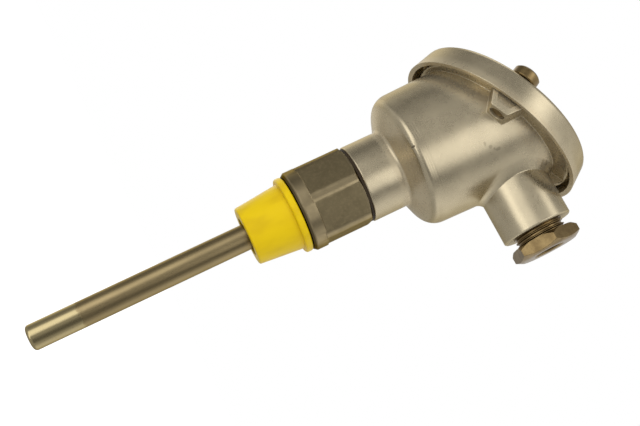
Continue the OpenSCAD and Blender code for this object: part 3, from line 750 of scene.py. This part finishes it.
class THERMO_OT_tube(bpy.types.Operator):
    """Drawn finish on the protection tube, polished at the tip, and the braze round it"""
    bl_idname = "thermometer.tube"
    bl_label = "Finish and braze the tube"

    def execute(self, context):
        steel = tube_finish(context.scene.thermometer.tube)
        wear(steel, "protection_tube", "tip_plug", "insert_sheath")
        bm = bmesh.new()
        loop = closed_loop(bm, [(r * MM, 0, FITTING_FOOT + h * MM) for r, h in BRAZE])
        bmesh.ops.spin(
            bm, geom=loop, cent=(0, 0, 0), axis=UP, angle=2 * math.pi, steps=64, use_merge=True)
        put(bm, "tube_braze", "housing", steel, angle=60)
        return {"FINISHED"}


class THERMO_OT_cap(bpy.types.Operator):
    """Moulded finish on the thread cap"""
    bl_idname = "thermometer.cap"
    bl_label = "Finish the cap"

    def execute(self, context):
        wear(cap_finish(context.scene.thermometer.cap), "thread_cap")
        return {"FINISHED"}


class THERMO_OT_gland(bpy.types.Operator):
    """Pressure screw with its cut thread, and the brass screws and clamps"""
    bl_idname = "thermometer.gland"
    bl_label = "Cut the gland and finish the brass"

    def execute(self, context):
        settings = context.scene.thermometer
        sizes = settings.threads
        brass = brass_finish(settings.brass)
        wear(brass, "gland_screw", "cover_screw_front", "cover_screw_back", "earth_screw",
             *numbered("insert_screw", 2), *numbered("terminal_clamp", 4))
        hexagon = GLAND_HIGH.x - GLAND_HEXAGON
        root = GLAND_CREST - sizes.gland_depth

        def centre(p):
            return Vector((p.x, 0, ENTRY_Z))

        bm = turned_copy(
            "gland_screw",
            lambda p: (p.x < hexagon + TOUCH
                       and BORE_LIMIT < (p - centre(p)).length < GLAND_CREST + TOUCH),
            centre, root / GLAND_CREST)
        screw = put(bm, "gland_screw_cut", "gland", brass)
        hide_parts("gland_screw")
        bare, both = GLAND_BARE
        ridge = thread_ridge(
            Vector((GLAND_LOW.x + bare, 0, ENTRY_Z)), OUT, UP, GLAND_CREST, sizes.gland_depth,
            sizes.gland_pitch, hexagon - GLAND_LOW.x - both)
        put(ridge, "gland_thread_ridge", "gland", brass, angle=50)
        return {"FINISHED"}


class THERMO_OT_seals(bpy.types.Operator):
    """Rubber seals and gasket, and the fibre seal"""
    bl_idname = "thermometer.seals"
    bl_label = "Finish the seals"

    def execute(self, context):
        look = context.scene.thermometer.insert
        rubber = seal_finish("black_rubber", look.rubber, look.rubber_dust, look.edge)
        wear(rubber, "cover_gasket", "gland_seal")
        wear(seal_finish("brown_fibre", look.fibre, look.fibre_dust, look.edge), "neck_seal")
        return {"FINISHED"}


class THERMO_OT_insert(bpy.types.Operator):
    """Plate, ceramic, springs, clamp screws and wires inside the head"""
    bl_idname = "thermometer.insert"
    bl_label = "Finish the insert"

    def execute(self, context):
        look = context.scene.thermometer.insert
        plated = plated_finish(look)
        springs = numbered("insert_spring", 2)
        wear(plated, "insert_flange", "gland_washer", "earth_washer", "conductors", *springs,
             *numbered("terminal_screw", 4))
        for spring in springs:
            low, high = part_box(spring)
            coil = put(
                merged_copy(spring), spring + "_coil", "housing", plated, angle=60)
            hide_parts(spring)
            keep = 1 - INSERT_TRAVEL / (high.z - low.z)
            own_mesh(coil)
        wear(ceramic_finish(look), "terminal_block", "insulation_fill", "sensor_element")
        wear(sleeve_finish(look), *numbered("lead_wire", 4))
        return {"FINISHED"}


# ---------------------------------------------------------------- stage

WHITE = (1, 1, 1, 1)
# The camera's own axes, its place, and the nearest and farthest that it sees, in metres
CAMERA_RIGHT = Vector((0.44611223, -0.03656893, 0.89422961))
CAMERA_UP = Vector((-0.86853703, -0.258761, 0.42271288))
CAMERA_BACK = Vector((0.21593359, -0.96524891, -0.14719792))
CAMERA_PLACE = Vector((0.086967, -0.371896, -0.048943))
CAMERA_REACH = (0.01, 50)
# The key lamp: rise, distance from the place that it shines at, width and height
KEY_RISE = math.radians(12)
KEY_DISTANCE = 1.0
KEY_AIM = Vector((0, 0, 0.03))
KEY_WIDTH = 0.9
KEY_HEIGHT = 1.17
# Half the floor's side, the size of its faint clouds, and how strongly it glows as background
FLOOR_HALF = 6
FLOOR_CLOUD = 0.05
FLOOR_GLOW = 0.55
TENT_RADIUS = 2.0
# Round panels of the tent: bearing from +X and rise in degrees, radius of the full and of
# the faded glow in degrees, and level; the last three are dark
PANELS = (
    (-60, 24, 8, 28, 1.5),
    (-64, 48, 10, 36, 0.28),
    (-84, 55, 4, 17, 1.5),
    (-119, -19, 9, 32, 1.5),
    (167, 43, 5, 24, 1.3),
    (132, 0, 8, 30, 0.9),
    (26, 0, 9, 34, 0.25),
    (-98, -48, 4, 17, 1.7),
    (42, 20, 16, 65, 0.35),
    (-141, 44, 15, 59, -0.2),
    (-46, 8, 10, 37, -0.38),
    (-174, 4, 6, 25, -0.25),
)


def direction(bearing, rise):
    """Unit vector at a bearing from +X and a rise above the level, both in radians."""
    return Vector((
        math.cos(bearing) * math.cos(rise), math.sin(bearing) * math.cos(rise), math.sin(rise)))


def stage_shape(scene, name, finish, bm):
    """Makes a stage object of a bmesh, with a new material, and gives the material's board."""
    mesh = bpy.data.meshes.new(name)
    bm.to_mesh(mesh)
    bm.free()
    shape = bpy.data.objects.new(name, mesh)
    scene.collection.objects.link(shape)
    material, board = new_board(finish)
    mesh.materials.append(material)
    return shape, board


class THERMO_OT_stage(bpy.types.Operator):
    """Camera, pale floor, soft lamp, grey tent and white surroundings"""
    bl_idname = "thermometer.stage"
    bl_label = "Set the stage"

    def execute(self, context):
        scene = context.scene
        look = scene.thermometer.studio
        scene.view_settings.view_transform = "Standard"
        self.add_camera(scene, look)
        self.add_world(scene, look)
        self.add_floor(scene, look)
        self.add_key_lamp(scene, look)
        self.add_tent(scene, look)
        return {"FINISHED"}

    def add_camera(self, scene, look):
        """Camera at its place, turned to its own axes."""
        data = bpy.data.cameras.new("camera")
        data.sensor_width = 36
        data.lens = look.lens
        data.clip_start, data.clip_end = CAMERA_REACH
        camera = bpy.data.objects.new("camera", data)
        scene.collection.objects.link(camera)
        turn = Matrix((CAMERA_RIGHT, CAMERA_UP, CAMERA_BACK)).transposed().to_4x4()
        camera.matrix_world = Matrix.Translation(CAMERA_PLACE) @ turn
        scene.camera = camera

    def add_world(self, scene, look):
        """Surroundings that light the object evenly and show as white."""
        world = bpy.data.worlds.new("studio")
        scene.world = world
        world.use_nodes = True
        b = Board(world.node_tree)
        level = b.background_rays() * (1 - look.sky) + look.sky
        shine = b.add("ShaderNodeBackground", {}, {"Color": WHITE, "Strength": level})
        b.add("ShaderNodeOutputWorld", {}, {"Surface": shine})

    def add_floor(self, scene, look):
        """Pale floor that is only there from above."""
        bm = bmesh.new()
        bmesh.ops.create_grid(bm, x_segments=1, y_segments=1, size=FLOOR_HALF)
        bmesh.ops.translate(bm, verts=bm.verts, vec=(0, 0, FLOOR_Z))
        floor, b = stage_shape(scene, "floor", "pale_floor", bm)
        floor.visible_glossy = False
        colour = b.blend(b.noise(FLOOR_CLOUD) * 0.05, look.floor, toned(look.floor, 0.875))
        matte = b.add("ShaderNodeBsdfDiffuse", {}, {"Color": colour})
        shine = b.background_rays() * FLOOR_GLOW
        glow = b.add("ShaderNodeEmission", {}, {"Color": WHITE, "Strength": shine})
        both = b.add("ShaderNodeAddShader", {}, {0: matte, 1: glow})
        clear = b.add("ShaderNodeBsdfTransparent")
        under = b.add("ShaderNodeNewGeometry", output="Backfacing")
        one_sided = b.add("ShaderNodeMixShader", {}, {0: under, 1: both, 2: clear})
        b.add("ShaderNodeOutputMaterial", {}, {"Surface": one_sided})

    def add_key_lamp(self, scene, look):
        """Large soft lamp that gloss doesn't show."""
        data = bpy.data.lights.new("key_lamp", "AREA")
        data.shape = "RECTANGLE"
        data.size = KEY_WIDTH
        data.size_y = KEY_HEIGHT
        data.energy = look.key
        lamp = bpy.data.objects.new("key_lamp", data)
        scene.collection.objects.link(lamp)
        way = direction(look.key_bearing, KEY_RISE)
        turn = (-way).to_track_quat("-Z", "Y").to_matrix().to_4x4()
        lamp.matrix_world = Matrix.Translation(way * KEY_DISTANCE + KEY_AIM) @ turn
        lamp.visible_glossy = False

    def add_tent(self, scene, look):
        """Grey tent with softly glowing panels, which only the glossy surfaces see."""
        bm = bmesh.new()
        bmesh.ops.create_uvsphere(bm, u_segments=48, v_segments=24, radius=TENT_RADIUS)
        bmesh.ops.reverse_faces(bm, faces=bm.faces)
        tent, b = stage_shape(scene, "tent", "grey_tent", bm)
        for ray in ("camera", "diffuse", "transmission", "volume_scatter", "shadow"):
            setattr(tent, "visible_" + ray, False)
        way = b.vector("NORMALIZE", b.point())
        glow = look.tent
        for bearing, rise, inner, outer, level in PANELS:
            aim = direction(math.radians(bearing), math.radians(rise))
            near = b.vector("DOT_PRODUCT", way, tuple(aim), output="Value")
            glow = glow + level * look.panel * near.rise(
                math.cos(math.radians(outer)), math.cos(math.radians(inner)))
        shader = b.add("ShaderNodeEmission", {}, {"Color": WHITE, "Strength": glow})
        b.add("ShaderNodeOutputMaterial", {}, {"Surface": shader})


OPERATORS = (
    THERMO_OT_casting, THERMO_OT_fitting, THERMO_OT_tube, THERMO_OT_cap, THERMO_OT_gland,
    THERMO_OT_seals, THERMO_OT_insert, THERMO_OT_stage)


class THERMO_PT_panel(bpy.types.Panel):
    """Lists the steps that make the thermometer"""
    bl_idname = "THERMO_PT_panel"
    bl_label = "Thermometer"
    bl_space_type = "VIEW_3D"
    bl_region_type = "UI"
    bl_category = "Thermometer"

    def draw(self, context):
        for operator in OPERATORS:
            self.layout.operator(operator.bl_idname)


CLASSES = (
    CastingLook, FittingLook, TubeLook, CapLook, BrassLook, InsertLook, ThreadSizes, StudioLook,
    ThermometerSettings, *OPERATORS, THERMO_PT_panel)


def register():
    for cls in CLASSES:
        bpy.utils.register_class(cls)
    bpy.types.Scene.thermometer = PointerProperty(type=ThermometerSettings)


def unregister():
    del bpy.types.Scene.thermometer
    for cls in reversed(CLASSES):
        bpy.utils.unregister_class(cls)


def main():
    register()
    for operator in OPERATORS:
        group, name = operator.bl_idname.split(".")
        getattr(getattr(bpy.ops, group), name)()
    bpy.context.view_layer.update()


if __name__ == "__main__":
    main()
